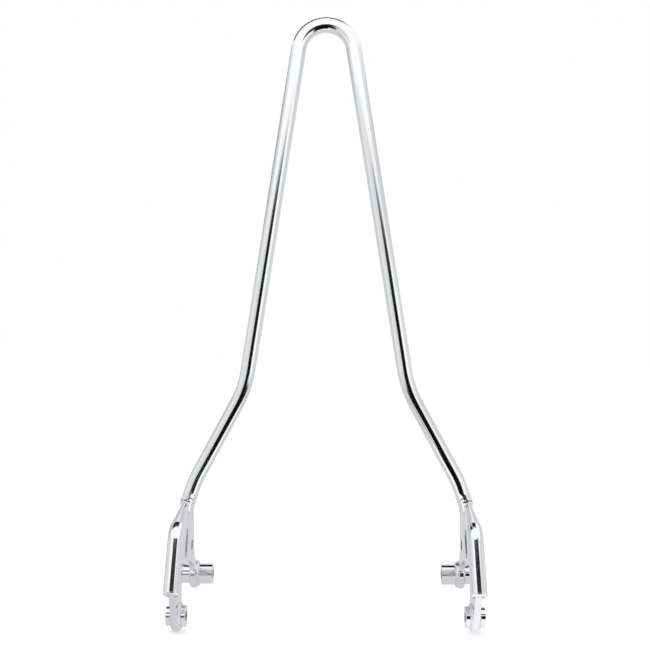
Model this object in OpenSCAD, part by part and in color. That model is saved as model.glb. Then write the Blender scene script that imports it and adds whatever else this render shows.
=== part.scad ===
// Motorbike sissy bar: a bent round bar welded to two flat side brackets with docking sleeves.
// Millimetres, +X to the right of a viewer behind the bike, +Y to the front of the bike, +Z up.
// The origin lies midway between the two rear docking sleeves, on their common axis.
// Every right-hand piece is modelled once and the left-hand one is its mirror image.

/* [Hoop] */
// Diameter of the round bar that the hoop and both rails are bent from
bar_d = 15.875; // [12.7:0.025:16.5]
// Height of the hoop's top above the rear docking axis
hoop_top_z = 609; // [450:1:760]
// Radius of the top bend at the bar's centre line
top_bend_r = 29.2; // [24:0.1:40]
// Lean of the upper legs away from vertical, in degrees
upper_splay = 8.95; // [4:0.05:10]
// Lean of the lower legs away from vertical, in degrees
lower_splay = 28.5; // [26:0.1:34]
// Lean of the short leg ends over the brackets, in degrees
end_splay = 19.3; // [17:0.1:21]
// Centre-line radius of the bend between the upper and lower leg
knee_r = 115; // [60:1:140]
// Centre-line radius of the bend just above the bracket
ankle_r = 95; // [60:1:110]
// Height of the bar's lower end, at its centre
hoop_end_z = 104.5; // [103:0.1:106]
// Height of the corner that the ankle bend rounds off
ankle_z = 125.2; // [123:0.1:128]
// Where the hoop's plane lies, forward of the rear docking axis
hoop_y = 60; // [58:0.5:62]
// Chamfer on the bar's cut ends
bar_chamfer = 0.8; // [0.3:0.1:1.2]

/* [Side plates] */
// Distance of each plate's middle plane from the object's middle plane
plate_x = 146.8; // [120:0.1:170]
// Thickness of the flat plate
plate_t = 6.35; // [5.5:0.05:6.6]
// Radius of the two round eyes
eye_r = 15.3; // [14.6:0.1:17]
// Chamfer around the rim of each eye
eye_chamfer = 1.15; // [0.5:0.05:1.4]
// Height at which the plate starts to bend inward under the hoop's end
bend_z = 96; // [94.5:0.1:97]
// Bend radius of the plate at its middle plane
bend_r = 8; // [5:0.5:10]
// Width of the tongue that fits into the pocket in the hoop's end
tongue_w = 10; // [7:0.5:11]
// Length of that tongue
tongue_l = 12; // [6:0.5:16]
// Width of the plate's neck under the hoop
neck_w = 14.4; // [13:0.1:15.4]
// Forward edge of the plate's upper part
web_front_y = 97; // [94:0.5:100]
// Height of the centre of the rounded shoulder
shoulder_z = 73.9; // [72:0.1:76]
// Radius of the rounded shoulder
shoulder_r = 16; // [14:0.5:18]
// Radius of the concave sweep from the shoulder down to the front eye
sweep_r = 24; // [20:0.5:26]
// Height of the arch between the two eyes
arch_top_z = 42; // [38:0.5:44]
// Rear side of that arch
arch_rear_y = 11.5; // [10:0.1:12.5]
// Radius of the arch's upper rear corner
arch_r = 12; // [6:0.5:14]
// Width of the rounded slot through the plate
window_w = 15; // [10:0.5:17]
// Distance between the two end centres of that slot
window_l = 15; // [8:0.5:20]
// Lean of the slot from vertical, top forward, in degrees
window_lean = 30; // [15:1:40]
// Forward distance of the slot's centre
window_y = 42; // [38:0.5:46]
// Height of the slot's centre
window_z = 63; // [61:0.5:66]
// Diameter of the small hole near the plate's front edge
small_hole_d = 11; // [6:0.1:12]
// Forward distance of the small hole
small_hole_y = 81; // [78:0.5:84]
// Height of the small hole
small_hole_z = 53; // [51:0.5:56]

/* [Docking points] */
// Forward distance from the rear docking axis to the front one
dock_y = 120; // [118:0.5:124]
// Rise of the front docking axis above the rear one
dock_z = 12.4; // [10:0.1:15]
// Diameter of the through bore for the strut bolt
bolt_bore_d = 10.2; // [8.5:0.1:12]
// Shoulder diameter of the front sleeves
front_shoulder_d = 22; // [21:0.1:24]
// Spigot diameter of the front sleeves, through the plate
front_spigot_d = 20.8; // [18:0.1:20.9]
// How far the front sleeves reach inward from the plate's middle plane
front_reach_in = 20.8; // [14:0.1:26]
// How far the front sleeves reach outward from the plate's middle plane
front_reach_out = 13.5; // [10:0.1:18]
// Shoulder diameter of the rear sleeves
rear_shoulder_d = 21.2; // [20:0.1:24]
// Spigot diameter of the rear sleeves, through the plate
rear_spigot_d = 19.8; // [17:0.1:19.9]
// How far the rear sleeves reach inward from the plate's middle plane
rear_reach_in = 9.3; // [8:0.1:14]
// How far the rear sleeves reach outward from the plate's middle plane
rear_reach_out = 10; // [8:0.1:14]
// Chamfer on the sleeves' ends
sleeve_chamfer = 0.6; // [0.2:0.1:1]
// Radial clearance between sleeve and eye before welding
eye_fit = 0; // [0:0.01:0.05]

/* [Rails] */
// Lean of the rail from vertical, top forward, in degrees
rail_lean = 29.5; // [27:0.1:32]
// Forward distance of the corner that the rail's top bend rounds off
rail_corner_y = -5.3; // [-7:0.1:-3]
// Height of that corner
rail_corner_z = 83; // [81:0.1:85]
// Height of the rail's lower end at its centre
rail_end_z = 29; // [26:0.5:34]
// Centre-line radius of the rail's top bend
rail_bend_r = 14; // [11:0.5:16]
// Forward distance of the tapered tip of the rail
rail_tip_y = 50.5; // [48:0.5:51]
// Height of the tapered tip of the rail
rail_tip_z = 100.6; // [99.5:0.1:101]
// Diameter of the tapered tip
rail_tip_d = 6.8; // [5:0.1:7.5]

/* [Welds] */
// Axial leg of the inner weld rings around the front sleeves
front_weld_in = 3.4; // [1.4:0.1:4]
// Axial leg of the outer weld rings around the front sleeves
front_weld_out = 1.6; // [1.4:0.1:3.5]
// Axial leg of the inner weld rings around the rear sleeves
rear_weld_in = 2.3; // [1.4:0.1:3.5]
// Axial leg of the outer weld rings around the rear sleeves
rear_weld_out = 2.4; // [1.4:0.1:3.5]
// Width of the foot of the weld beads along the rails
rail_weld_w = 6.2; // [4:0.1:7]
// Height of those beads over the plate's face
rail_weld_h = 3.7; // [2.5:0.1:4]
// Length of the conical weld collar under the hoop's end
collar_l = 6; // [3:0.2:6]
// Diameter of the collar at its lower end
collar_end_d = 12.4; // [9:0.1:12.6]

/* [Hidden] */
$fn = 72;
bar_r = bar_d / 2;
half_t = plate_t / 2;
// The bends are a hair thicker than the straights, whose ends reach a little way into them.
bend_bar_r = bar_r + 0.04;
lap = 0.3;
// Hoop centre line, right half, worked out from its lower end upward.
end_x = plate_x - bend_r * (1 - cos(end_splay))
    - (hoop_end_z - bend_z - bend_r * sin(end_splay)) * tan(end_splay);
ankle_x = end_x - (ankle_z - hoop_end_z) * tan(end_splay);
top_z = hoop_top_z - bar_r;
top_c_z = top_z - top_bend_r;
// The upper leg line touches the top bend: x = top_bend_r / cos + (top_c_z - z) * tan.
leg_x0 = top_bend_r / cos(upper_splay);
knee_z = (ankle_x + ankle_z * tan(lower_splay) - leg_x0 - top_c_z * tan(upper_splay))
    / (tan(lower_splay) - tan(upper_splay));
knee_x = leg_x0 + (top_c_z - knee_z) * tan(upper_splay);
knee_t = knee_r * tan((lower_splay - upper_splay) / 2);
ankle_t = ankle_r * tan((lower_splay - end_splay) / 2);
top_leg_l = (top_c_z + top_bend_r * sin(upper_splay) - knee_z) / cos(upper_splay) - knee_t;
low_leg_l = (knee_z - ankle_z) / cos(lower_splay) - knee_t - ankle_t;
end_leg_l = (ankle_z - hoop_end_z) / cos(end_splay) - ankle_t;
// Rail, in the plate's plane: angle of its tapered part above level, and its bend.
tip_rise = atan2(rail_tip_z - rail_corner_z, rail_tip_y - rail_corner_y);
rail_turn = 90 - rail_lean - tip_rise;
rail_bend_t = rail_bend_r * tan(rail_turn / 2);
rail_l = (rail_corner_z - rail_end_z) / cos(rail_lean) - rail_bend_t;
taper_l = norm([rail_tip_y - rail_corner_y, rail_tip_z - rail_corner_z]) - rail_bend_t;
rail_end_y = rail_corner_y - (rail_corner_z - rail_end_z) * tan(rail_lean);
// Cutters and stock reach this far past what they cut.
past = 20;
sweep_y = web_front_y + sweep_r;
sweep_z = dock_z + eye_r + sweep_r;
shoulder_y = web_front_y - shoulder_r;
slab_w = sweep_y + 4 * past;

// Placing helpers.

// Turns something drawn along +Z so that it runs outward along +X, at one point of the side plane.
module along_x(y, z) {
    translate([plate_x, y, z]) rotate([0, 90, 0]) children();
}

// Frame at the hoop's right-hand end: +Z runs up the bar, the origin is the end's centre.
module at_hoop_end() {
    translate([end_x, hoop_y, hoop_end_z]) rotate([0, -end_splay, 0]) children();
}

// Frame at the rail's lower end: +Z runs up the rail.
module at_rail_end() {
    translate([plate_x, rail_end_y, rail_end_z]) rotate([-rail_lean, 0, 0]) children();
}

// A bend that goes up from the origin and turns towards -X; what follows stands at its end.
module bend_in(r, angle) {
    translate([-r, 0, 0]) {
        rotate([90, 0, 0]) rotate_extrude(angle = angle) translate([r, 0]) circle(r = bend_bar_r);
        rotate([0, -angle, 0]) translate([r, 0, 0]) children();
    }
}

// The same, turning towards +X.
module bend_out(r, angle) {
    rotate([0, 0, 180]) bend_in(r, angle) rotate([0, 0, 180]) children();
}

// A straight length of bar between two bends; what follows stands at its top.
module straight(l) {
    translate([0, 0, -lap]) cylinder(r = bar_r, h = l + 2 * lap);
    translate([0, 0, l]) children();
}

// A straight length whose lower end is cut square and chamfered.
module first_straight(l) {
    rotate_extrude() polygon([[0, 0], [bar_r - bar_chamfer, 0], [bar_r, bar_chamfer],
        [bar_r, l + lap], [0, l + lap]]);
    translate([0, 0, l]) children();
}

// The whole bar in one run, from its right-hand end over the top to its left-hand end.
module hoop_bar() {
    at_hoop_end() first_straight(end_leg_l)
        bend_in(ankle_r, lower_splay - end_splay) straight(low_leg_l)
        bend_out(knee_r, lower_splay - upper_splay) straight(top_leg_l)
        bend_in(top_bend_r, 180 - 2 * upper_splay) straight(top_leg_l)
        bend_out(knee_r, lower_splay - upper_splay) straight(low_leg_l)
        bend_in(ankle_r, lower_splay - end_splay)
        translate([0, 0, end_leg_l]) rotate([180, 0, 0]) first_straight(end_leg_l);
}

// Pocket in the hoop's end, and the tongue that fills it.
module tongue() {
    at_hoop_end() translate([-half_t, -tongue_w / 2, 0]) cube([plate_t, tongue_w, tongue_l]);
}

module hoop() {
    color([0.86, 0.87, 0.89]) difference() {
        hoop_bar();
        tongue();
        mirror([1, 0, 0]) tongue();
    }
}

// Rail: straight round bar, a bend forward at the top and a taper that ends under the hoop.
module rail_body() {
    at_rail_end() rotate([0, 0, -90]) first_straight(rail_l) bend_in(rail_bend_r, rail_turn)
        translate([0, 0, -lap]) cylinder(r1 = bar_r, r2 = rail_tip_d / 2, h = taper_l + lap);
}

module rail() {
    color([0.86, 0.87, 0.89]) rail_body();
}

// Where the edge from the neck runs into the shoulder, in degrees above level.
shoulder_a = 51.34;
// Outline of the plate without its eyes, as points in the side plane (forward, up).
web_points = [
    [-0.954 * eye_r, -0.196 * eye_r], [rail_end_y + 0.31 * bar_d, rail_end_z - 0.19 * bar_d],
    [rail_end_y, rail_end_z], [rail_corner_y, rail_corner_z], [rail_tip_y, rail_tip_z],
    [hoop_y - neck_w / 2, rail_tip_z + 0.32 * rail_tip_d], [hoop_y - neck_w / 2, hoop_end_z + tongue_l],
    [hoop_y + neck_w / 2, hoop_end_z + tongue_l], [hoop_y + neck_w / 2, hoop_end_z + bar_chamfer],
    [shoulder_y + shoulder_r * cos(shoulder_a), shoulder_z + shoulder_r * sin(shoulder_a)],
    [web_front_y, shoulder_z], [web_front_y, sweep_z], [sweep_y, sweep_z],
    [sweep_y, dock_z + 0.17 * eye_r], [dock_y - 0.82 * eye_r, dock_z + 0.17 * eye_r],
    [dock_y - 0.95 * eye_r, dock_z + 0.725 * eye_r], [dock_y / 2, arch_top_z],
    [arch_rear_y + arch_r, arch_top_z], [arch_rear_y + arch_r, arch_top_z - arch_r],
    [arch_rear_y, arch_top_z - arch_r], [arch_rear_y, 0.26 * eye_r]];

// The flat slab, its bend and the leaning top, wider than the plate; the outline cuts it.
module bent_slab() {
    translate([plate_x - half_t, -3 * past, -2 * past]) cube([plate_t, slab_w, bend_z + 2 * past]);
    translate([plate_x - bend_r, 0, bend_z]) rotate([-90, 0, 0]) translate([0, 0, -3 * past])
        rotate([0, 0, -end_splay]) rotate_extrude(angle = end_splay)
            translate([bend_r - half_t, 0]) square([plate_t, slab_w]);
    at_hoop_end() translate([-half_t, -hoop_y - 3 * past, -slab_top_l])
        cube([plate_t, slab_w, slab_top_l]);
}
slab_top_l = (hoop_end_z - bend_z - bend_r * sin(end_splay)) / cos(end_splay);

// One eye with its chamfered rim, drawn along the side plane's normal.
module eye(y, z) {
    along_x(y, z) rotate_extrude() polygon([[0, -half_t], [eye_r - eye_chamfer, -half_t],
        [eye_r, -half_t + eye_chamfer], [eye_r, half_t - eye_chamfer],
        [eye_r - eye_chamfer, half_t], [0, half_t]]);
}

// A cutter through the plate, round, across the side plane.
module through(y, z, r) {
    along_x(y, z) translate([0, 0, -past]) cylinder(r = r, h = 2 * past);
}

module plate_body() {
    difference() {
        union() {
            intersection() {
                bent_slab();
                union() {
                    translate([plate_x - past, 0, 0]) rotate([90, 0, 90])
                        linear_extrude(height = 2 * past) polygon(web_points);
                    // rounds the shoulder of the front edge
                    through(shoulder_y, shoulder_z, shoulder_r);
                }
            }
            eye(0, 0);
            eye(dock_y, dock_z);
            tongue();
        }
        // concave sweep of the front edge down to the front eye
        through(sweep_y, sweep_z, sweep_r);
        through(0, 0, rear_spigot_d / 2 + eye_fit);
        through(dock_y, dock_z, front_spigot_d / 2 + eye_fit);
        // rounds the arch's upper rear corner
        through(arch_rear_y + arch_r, arch_top_z - arch_r, arch_r);
        // rounded slot and small hole
        translate([plate_x, window_y, window_z]) rotate([-window_lean, 0, 0]) {
            translate([-past, -window_w / 2, -window_l / 2]) cube([2 * past, window_w, window_l]);
            for (s = [-1, 1]) translate([-past, 0, s * window_l / 2]) rotate([0, 90, 0])
                cylinder(r = window_w / 2, h = 2 * past);
        }
        through(small_hole_y, small_hole_z, small_hole_d / 2);
        rail_body();
    }
}

module plate() {
    color([0.8, 0.8, 0.84]) plate_body();
}

// Docking sleeve: a shoulder on the inner side and a thinner spigot through the plate.
module sleeve(y, z, shoulder_d, spigot_d, reach_in, reach_out) {
    color([0.84, 0.85, 0.87]) along_x(y, z) rotate_extrude() polygon([
        [bolt_bore_d / 2 + sleeve_chamfer, -reach_in], [shoulder_d / 2 - sleeve_chamfer, -reach_in],
        [shoulder_d / 2, -reach_in + sleeve_chamfer], [shoulder_d / 2, -half_t],
        [spigot_d / 2, -half_t], [spigot_d / 2, reach_out - sleeve_chamfer],
        [spigot_d / 2 - sleeve_chamfer, reach_out], [bolt_bore_d / 2 + sleeve_chamfer, reach_out],
        [bolt_bore_d / 2, reach_out - sleeve_chamfer], [bolt_bore_d / 2, -reach_in + sleeve_chamfer]]);
}

// Weld ring in the corner between a sleeve and one face of the plate; side is -1 inside, 1 outside.
module ring_weld(y, z, sleeve_d, leg, side) {
    foot = eye_r - eye_chamfer;
    color([0.78, 0.78, 0.82]) along_x(y, z) mirror([0, 0, side > 0 ? 0 : 1]) rotate_extrude()
        polygon([[sleeve_d / 2, half_t], [foot, half_t], [foot - 0.25, half_t + 0.45],
            [(foot + sleeve_d / 2) / 2 + 0.25, half_t + leg / 2 + 0.25],
            [sleeve_d / 2 + 0.4, half_t + leg], [sleeve_d / 2, half_t + leg]]);
}

// Weld bead along the front of the rail's straight part, on one face of the plate.
module rail_weld(side) {
    color([0.78, 0.78, 0.82]) difference() {
        at_rail_end() translate([0, 0, 0.19 * bar_d]) linear_extrude(height = rail_l - 0.32 * bar_d)
            polygon([[side * half_t, 0.68 * bar_r], [side * half_t, 0.68 * bar_r + rail_weld_w],
                [side * (half_t + 0.62 * rail_weld_h), 0.68 * bar_r + 0.565 * rail_weld_w],
                [side * (half_t + rail_weld_h), 0.63 * bar_r],
                [side * (half_t + 0.62 * rail_weld_h), 0.466 * bar_r]]);
        rail_body();
    }
}

// Conical weld collar on both faces of the plate, right under the hoop's end.
module hoop_weld() {
    color([0.78, 0.78, 0.82]) at_hoop_end() difference() {
        translate([0, 0, -collar_l])
            cylinder(r1 = collar_end_d / 2, r2 = bar_r - bar_chamfer, h = collar_l);
        translate([-half_t, -past, -2 * collar_l]) cube([plate_t, 2 * past, 3 * collar_l]);
    }
}

module left() {
    mirror([1, 0, 0]) children();
}

module right_plate() { plate(); }
module left_plate() { left() plate(); }
module right_rail() { rail(); }
module left_rail() { left() rail(); }
module right_front_sleeve() {
    sleeve(dock_y, dock_z, front_shoulder_d, front_spigot_d, front_reach_in, front_reach_out);
}
module left_front_sleeve() { left() right_front_sleeve(); }
module right_rear_sleeve() {
    sleeve(0, 0, rear_shoulder_d, rear_spigot_d, rear_reach_in, rear_reach_out);
}
module left_rear_sleeve() { left() right_rear_sleeve(); }
module right_front_weld_inner() { ring_weld(dock_y, dock_z, front_shoulder_d, front_weld_in, -1); }
module left_front_weld_inner() { left() right_front_weld_inner(); }
module right_front_weld_outer() { ring_weld(dock_y, dock_z, front_spigot_d, front_weld_out, 1); }
module left_front_weld_outer() { left() right_front_weld_outer(); }
module right_rear_weld_inner() { ring_weld(0, 0, rear_shoulder_d, rear_weld_in, -1); }
module left_rear_weld_inner() { left() right_rear_weld_inner(); }
module right_rear_weld_outer() { ring_weld(0, 0, rear_spigot_d, rear_weld_out, 1); }
module left_rear_weld_outer() { left() right_rear_weld_outer(); }
module right_rail_weld_inner() { rail_weld(-1); }
module left_rail_weld_inner() { left() rail_weld(-1); }
module right_rail_weld_outer() { rail_weld(1); }
module left_rail_weld_outer() { left() rail_weld(1); }
module right_hoop_weld() { hoop_weld(); }
module left_hoop_weld() { left() hoop_weld(); }

hoop();
left_plate();
right_plate();
left_rail();
right_rail();
left_front_sleeve();
right_front_sleeve();
left_rear_sleeve();
right_rear_sleeve();
left_front_weld_inner();
right_front_weld_inner();
left_front_weld_outer();
right_front_weld_outer();
left_rear_weld_inner();
right_rear_weld_inner();
left_rear_weld_outer();
right_rear_weld_outer();
left_rail_weld_inner();
right_rail_weld_inner();
left_rail_weld_outer();
right_rail_weld_outer();
left_hoop_weld();
right_hoop_weld();
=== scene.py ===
from math import cos, pi, radians, sin, tan

import bmesh
import bpy
from mathutils import Matrix, Vector


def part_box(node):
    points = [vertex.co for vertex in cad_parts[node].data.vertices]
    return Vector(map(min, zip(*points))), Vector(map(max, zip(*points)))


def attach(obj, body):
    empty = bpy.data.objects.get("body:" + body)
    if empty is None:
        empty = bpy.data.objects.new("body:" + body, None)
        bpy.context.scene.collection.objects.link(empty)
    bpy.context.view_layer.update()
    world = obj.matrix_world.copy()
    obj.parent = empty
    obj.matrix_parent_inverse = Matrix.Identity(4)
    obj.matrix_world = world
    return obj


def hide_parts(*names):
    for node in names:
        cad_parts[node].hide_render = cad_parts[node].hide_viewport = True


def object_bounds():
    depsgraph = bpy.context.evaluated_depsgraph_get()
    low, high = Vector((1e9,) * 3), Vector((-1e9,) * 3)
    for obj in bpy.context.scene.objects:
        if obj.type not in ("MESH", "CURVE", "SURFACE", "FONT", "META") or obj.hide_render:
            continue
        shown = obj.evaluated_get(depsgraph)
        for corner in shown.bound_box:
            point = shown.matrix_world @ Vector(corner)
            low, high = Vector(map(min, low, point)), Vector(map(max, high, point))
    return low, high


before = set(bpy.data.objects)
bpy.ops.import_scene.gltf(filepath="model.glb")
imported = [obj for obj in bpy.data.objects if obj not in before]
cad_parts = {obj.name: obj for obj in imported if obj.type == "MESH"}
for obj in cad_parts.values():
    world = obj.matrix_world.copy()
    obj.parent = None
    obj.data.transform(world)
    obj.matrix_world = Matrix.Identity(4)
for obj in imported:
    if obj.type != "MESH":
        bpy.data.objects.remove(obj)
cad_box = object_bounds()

bl_info = {
    "name": "Chrome sissy bar",
    "version": (1, 0, 0),
    "blender": (4, 5, 0),
    "location": "View3D > Sidebar > Sissy Bar",
    "description": "Builds a chromed motorbike sissy bar on its packed frame, and the studio round it",
    "category": "Add Mesh",
}

HOOP_LOW, HOOP_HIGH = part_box("hoop")
# The facets of the frame's hoop stand this far over its true top
FACET_RISE = 0.00004


# Sizes and finishes that a user would change

class HoopSizes(bpy.types.PropertyGroup):
    """The bent round bar"""
    bar_d: bpy.props.FloatProperty(
        name="Bar diameter", description="Diameter of the round bar", default=0.015875,
        unit="LENGTH", precision=5)
    top_z: bpy.props.FloatProperty(
        name="Top height", description="Height of the hoop's top over the rear docking axis",
        default=HOOP_HIGH[2] - FACET_RISE, unit="LENGTH", precision=5)
    top_bend_r: bpy.props.FloatProperty(
        name="Top bend radius", description="Centre-line radius of the top bend", default=0.0292,
        unit="LENGTH", precision=5)
    upper_splay: bpy.props.FloatProperty(
        name="Upper splay", description="Lean of the upper legs", default=radians(8.95),
        subtype="ANGLE")
    lower_splay: bpy.props.FloatProperty(
        name="Lower splay", description="Lean of the lower legs", default=radians(28.5),
        subtype="ANGLE")
    end_splay: bpy.props.FloatProperty(
        name="End splay", description="Lean of the short leg ends", default=radians(19.3),
        subtype="ANGLE")
    knee_r: bpy.props.FloatProperty(
        name="Knee radius", description="Bend between upper and lower leg", default=0.115,
        unit="LENGTH")
    ankle_r: bpy.props.FloatProperty(
        name="Ankle radius", description="Bend just above the bracket", default=0.095,
        unit="LENGTH")
    end_z: bpy.props.FloatProperty(
        name="End height", description="Height of the bar's lower ends", default=0.1045,
        unit="LENGTH", precision=5)
    ankle_z: bpy.props.FloatProperty(
        name="Ankle height", description="Height of the corner that the ankle bend rounds off",
        default=0.1252, unit="LENGTH", precision=5)
    y: bpy.props.FloatProperty(
        name="Plane", description="Where the hoop's plane lies, forward of the rear docking axis",
        default=(HOOP_LOW[1] + HOOP_HIGH[1]) / 2, unit="LENGTH")


class BracketSizes(bpy.types.PropertyGroup):
    """The side plates and the rails on their rear edges"""
    plate_x: bpy.props.FloatProperty(
        name="Plate distance", description="Middle plane of a plate from the object's middle plane",
        default=0.1468, unit="LENGTH", precision=5)
    plate_t: bpy.props.FloatProperty(
        name="Plate thickness", description="Thickness of the flat plate", default=0.00635,
        unit="LENGTH", precision=5)
    rim_round: bpy.props.FloatProperty(
        name="Rim rounding", description="Polished rounding of the plate's edges", default=0.0006,
        unit="LENGTH", precision=5)
    bend_z: bpy.props.FloatProperty(
        name="Bend height", description="Where the plate starts to bend inward", default=0.096,
        unit="LENGTH")
    bend_r: bpy.props.FloatProperty(
        name="Plate bend radius", description="Bend radius at the middle plane", default=0.008,
        unit="LENGTH")
    rail_lean: bpy.props.FloatProperty(
        name="Rail lean", description="Lean of the rail, top forward", default=radians(29.5),
        subtype="ANGLE")
    rail_corner: bpy.props.FloatVectorProperty(
        name="Rail corner", description="Corner that the rail's top bend rounds off (forward, up)",
        size=2, default=(-0.0053, 0.083), unit="LENGTH", precision=5)
    rail_end_z: bpy.props.FloatProperty(
        name="Rail end height", description="Height of the rail's lower end", default=0.029,
        unit="LENGTH")
    rail_bend_r: bpy.props.FloatProperty(
        name="Rail bend radius", description="Centre-line radius of the rail's top bend",
        default=0.022, unit="LENGTH")
    rail_tip: bpy.props.FloatVectorProperty(
        name="Rail tip", description="Tapered tip of the rail (forward, up)", size=2,
        default=(0.0505, 0.1006), unit="LENGTH", precision=5)
    rail_tip_d: bpy.props.FloatProperty(
        name="Rail tip diameter", description="Diameter of the tapered tip", default=0.0068,
        unit="LENGTH", precision=5)


class SleeveSizes(bpy.types.PropertyGroup):
    """The docking sleeves and the welds round them"""
    dock_y: bpy.props.FloatProperty(
        name="Docking distance", description="From the rear docking axis to the front one",
        default=0.12, unit="LENGTH")
    dock_z: bpy.props.FloatProperty(
        name="Docking rise", description="Rise of the front docking axis", default=0.0124,
        unit="LENGTH", precision=5)
    bore_d: bpy.props.FloatProperty(
        name="Bore", description="Through bore of every sleeve", default=0.0102, unit="LENGTH",
        precision=5)
    front_d: bpy.props.FloatVectorProperty(
        name="Front diameters", description="Shoulder and spigot of the front sleeves", size=2,
        default=(0.022, 0.0208), unit="LENGTH", precision=5)
    rear_d: bpy.props.FloatVectorProperty(
        name="Rear diameters", description="Shoulder and spigot of the rear sleeves", size=2,
        default=(0.0212, 0.0198), unit="LENGTH", precision=5)
    front_reach: bpy.props.FloatVectorProperty(
        name="Front reach", description="Reach of the front sleeves inward and outward", size=2,
        default=(0.0208, 0.0135), unit="LENGTH", precision=5)
    rear_reach: bpy.props.FloatVectorProperty(
        name="Rear reach", description="Reach of the rear sleeves inward and outward", size=2,
        default=(0.0093, 0.01), unit="LENGTH", precision=5)
    rim_round: bpy.props.FloatProperty(
        name="Rim rounding", description="Rounding of the sleeves' rims", default=0.0006,
        unit="LENGTH", precision=5)
    weld_foot: bpy.props.FloatProperty(
        name="Weld foot", description="Radius at which a weld ring meets its plate",
        default=0.01415, unit="LENGTH", precision=5)
    front_weld: bpy.props.FloatVectorProperty(
        name="Front weld", description="Axial leg of the inner and outer front weld rings", size=2,
        default=(0.0034, 0.0016), unit="LENGTH", precision=5)
    rear_weld: bpy.props.FloatVectorProperty(
        name="Rear weld", description="Axial leg of the inner and outer rear weld rings", size=2,
        default=(0.0023, 0.0024), unit="LENGTH", precision=5)
    ripple_pitch: bpy.props.FloatProperty(
        name="Ripple pitch", description="Distance from one weld ripple to the next",
        default=0.0021, unit="LENGTH", precision=5)
    ripple_depth: bpy.props.FloatProperty(
        name="Ripple depth", description="Height of a weld ripple", default=0.00018,
        unit="LENGTH", precision=5)


class Finish(bpy.types.PropertyGroup):
    """Chrome and studio"""
    chrome: bpy.props.FloatVectorProperty(
        name="Chrome", description="Reflected colour of the plating", subtype="COLOR", size=3,
        min=0.0, max=1.0, default=(0.905, 0.91, 0.925))
    chrome_dull: bpy.props.FloatVectorProperty(
        name="Dull chrome", description="Colour where the plating is a little hazy",
        subtype="COLOR", size=3, min=0.0, max=1.0, default=(0.84, 0.845, 0.87))
    cool_chrome: bpy.props.FloatVectorProperty(
        name="Bracket chrome", description="Reflected colour of the plating on the brackets",
        subtype="COLOR", size=3, min=0.0, max=1.0, default=(0.9, 0.905, 0.95))
    cool_dull: bpy.props.FloatVectorProperty(
        name="Dull bracket chrome", description="Colour where the brackets' plating is a little hazy",
        subtype="COLOR", size=3, min=0.0, max=1.0, default=(0.83, 0.84, 0.9))
    floor: bpy.props.FloatVectorProperty(
        name="Floor", description="Colour of the studio floor", subtype="COLOR", size=3,
        min=0.0, max=1.0, default=(0.85, 0.85, 0.85))


# Modelling helpers

# Points closer than this become one, in new meshes and in the frame's loose triangles
MERGE, FRAME_MERGE = 0.000002, 0.000004
# Facets round a bar or a turned piece
ROUND = 96


def clear():
    """Leaves edit mode and deselects everything."""
    if bpy.context.object and bpy.context.object.mode != "OBJECT":
        bpy.ops.object.mode_set(mode="OBJECT")
    bpy.ops.object.select_all(action="DESELECT")


def edit(obj, select="SELECT"):
    """Opens one object in edit mode with all of it selected, or nothing."""
    clear()
    obj.select_set(True)
    bpy.context.view_layer.objects.active = obj
    bpy.ops.object.mode_set(mode="EDIT")
    bpy.ops.mesh.select_mode(type="VERT")
    bpy.ops.mesh.select_all(action=select)


def settle(obj):
    """Puts an object's place into its mesh, so that it sits at the origin."""
    clear()
    obj.select_set(True)
    bpy.context.view_layer.objects.active = obj
    bpy.ops.object.transform_apply(location=True, rotation=True, scale=True)


def tidy(obj):
    """Merges doubles and turns all faces outward."""
    edit(obj)
    bpy.ops.mesh.remove_doubles(threshold=MERGE)
    bpy.ops.mesh.normals_make_consistent(inside=False)
    clear()


def round_edges(obj, width, segments=3, angle=35.0):
    """Rounds every edge sharper than the angle, with a Bevel modifier that is applied."""
    clear()
    obj.select_set(True)
    bpy.context.view_layer.objects.active = obj
    bevel = obj.modifiers.new("rim", "BEVEL")
    bevel.width = width
    bevel.segments = segments
    bevel.limit_method = "ANGLE"
    bevel.angle_limit = radians(angle)
    bevel.use_clamp_overlap = True
    bpy.ops.object.modifier_apply(modifier=bevel.name)


def smooth(obj, angle=30.0):
    """Shades smooth all edges duller than the angle."""
    clear()
    obj.select_set(True)
    bpy.context.view_layer.objects.active = obj
    bpy.ops.object.shade_smooth_by_angle(angle=radians(angle))


def true_normals(obj):
    """Lets the large faces set the shading, so that straight stretches mirror as straight ones."""
    clear()
    obj.select_set(True)
    bpy.context.view_layer.objects.active = obj
    weighted = obj.modifiers.new("shading", "WEIGHTED_NORMAL")
    weighted.mode = "FACE_AREA"
    weighted.weight = 100
    weighted.keep_sharp = True
    bpy.ops.object.modifier_apply(modifier=weighted.name)


def dress(obj, node, material):
    """Gives a finished piece its name, its finish and the CAD node that it stands for."""
    obj.name = node + "_shown"
    obj.data.name = obj.name
    obj.data.materials.clear()
    obj.data.materials.append(material)
    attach(obj, "root")
    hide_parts(node)


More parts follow.
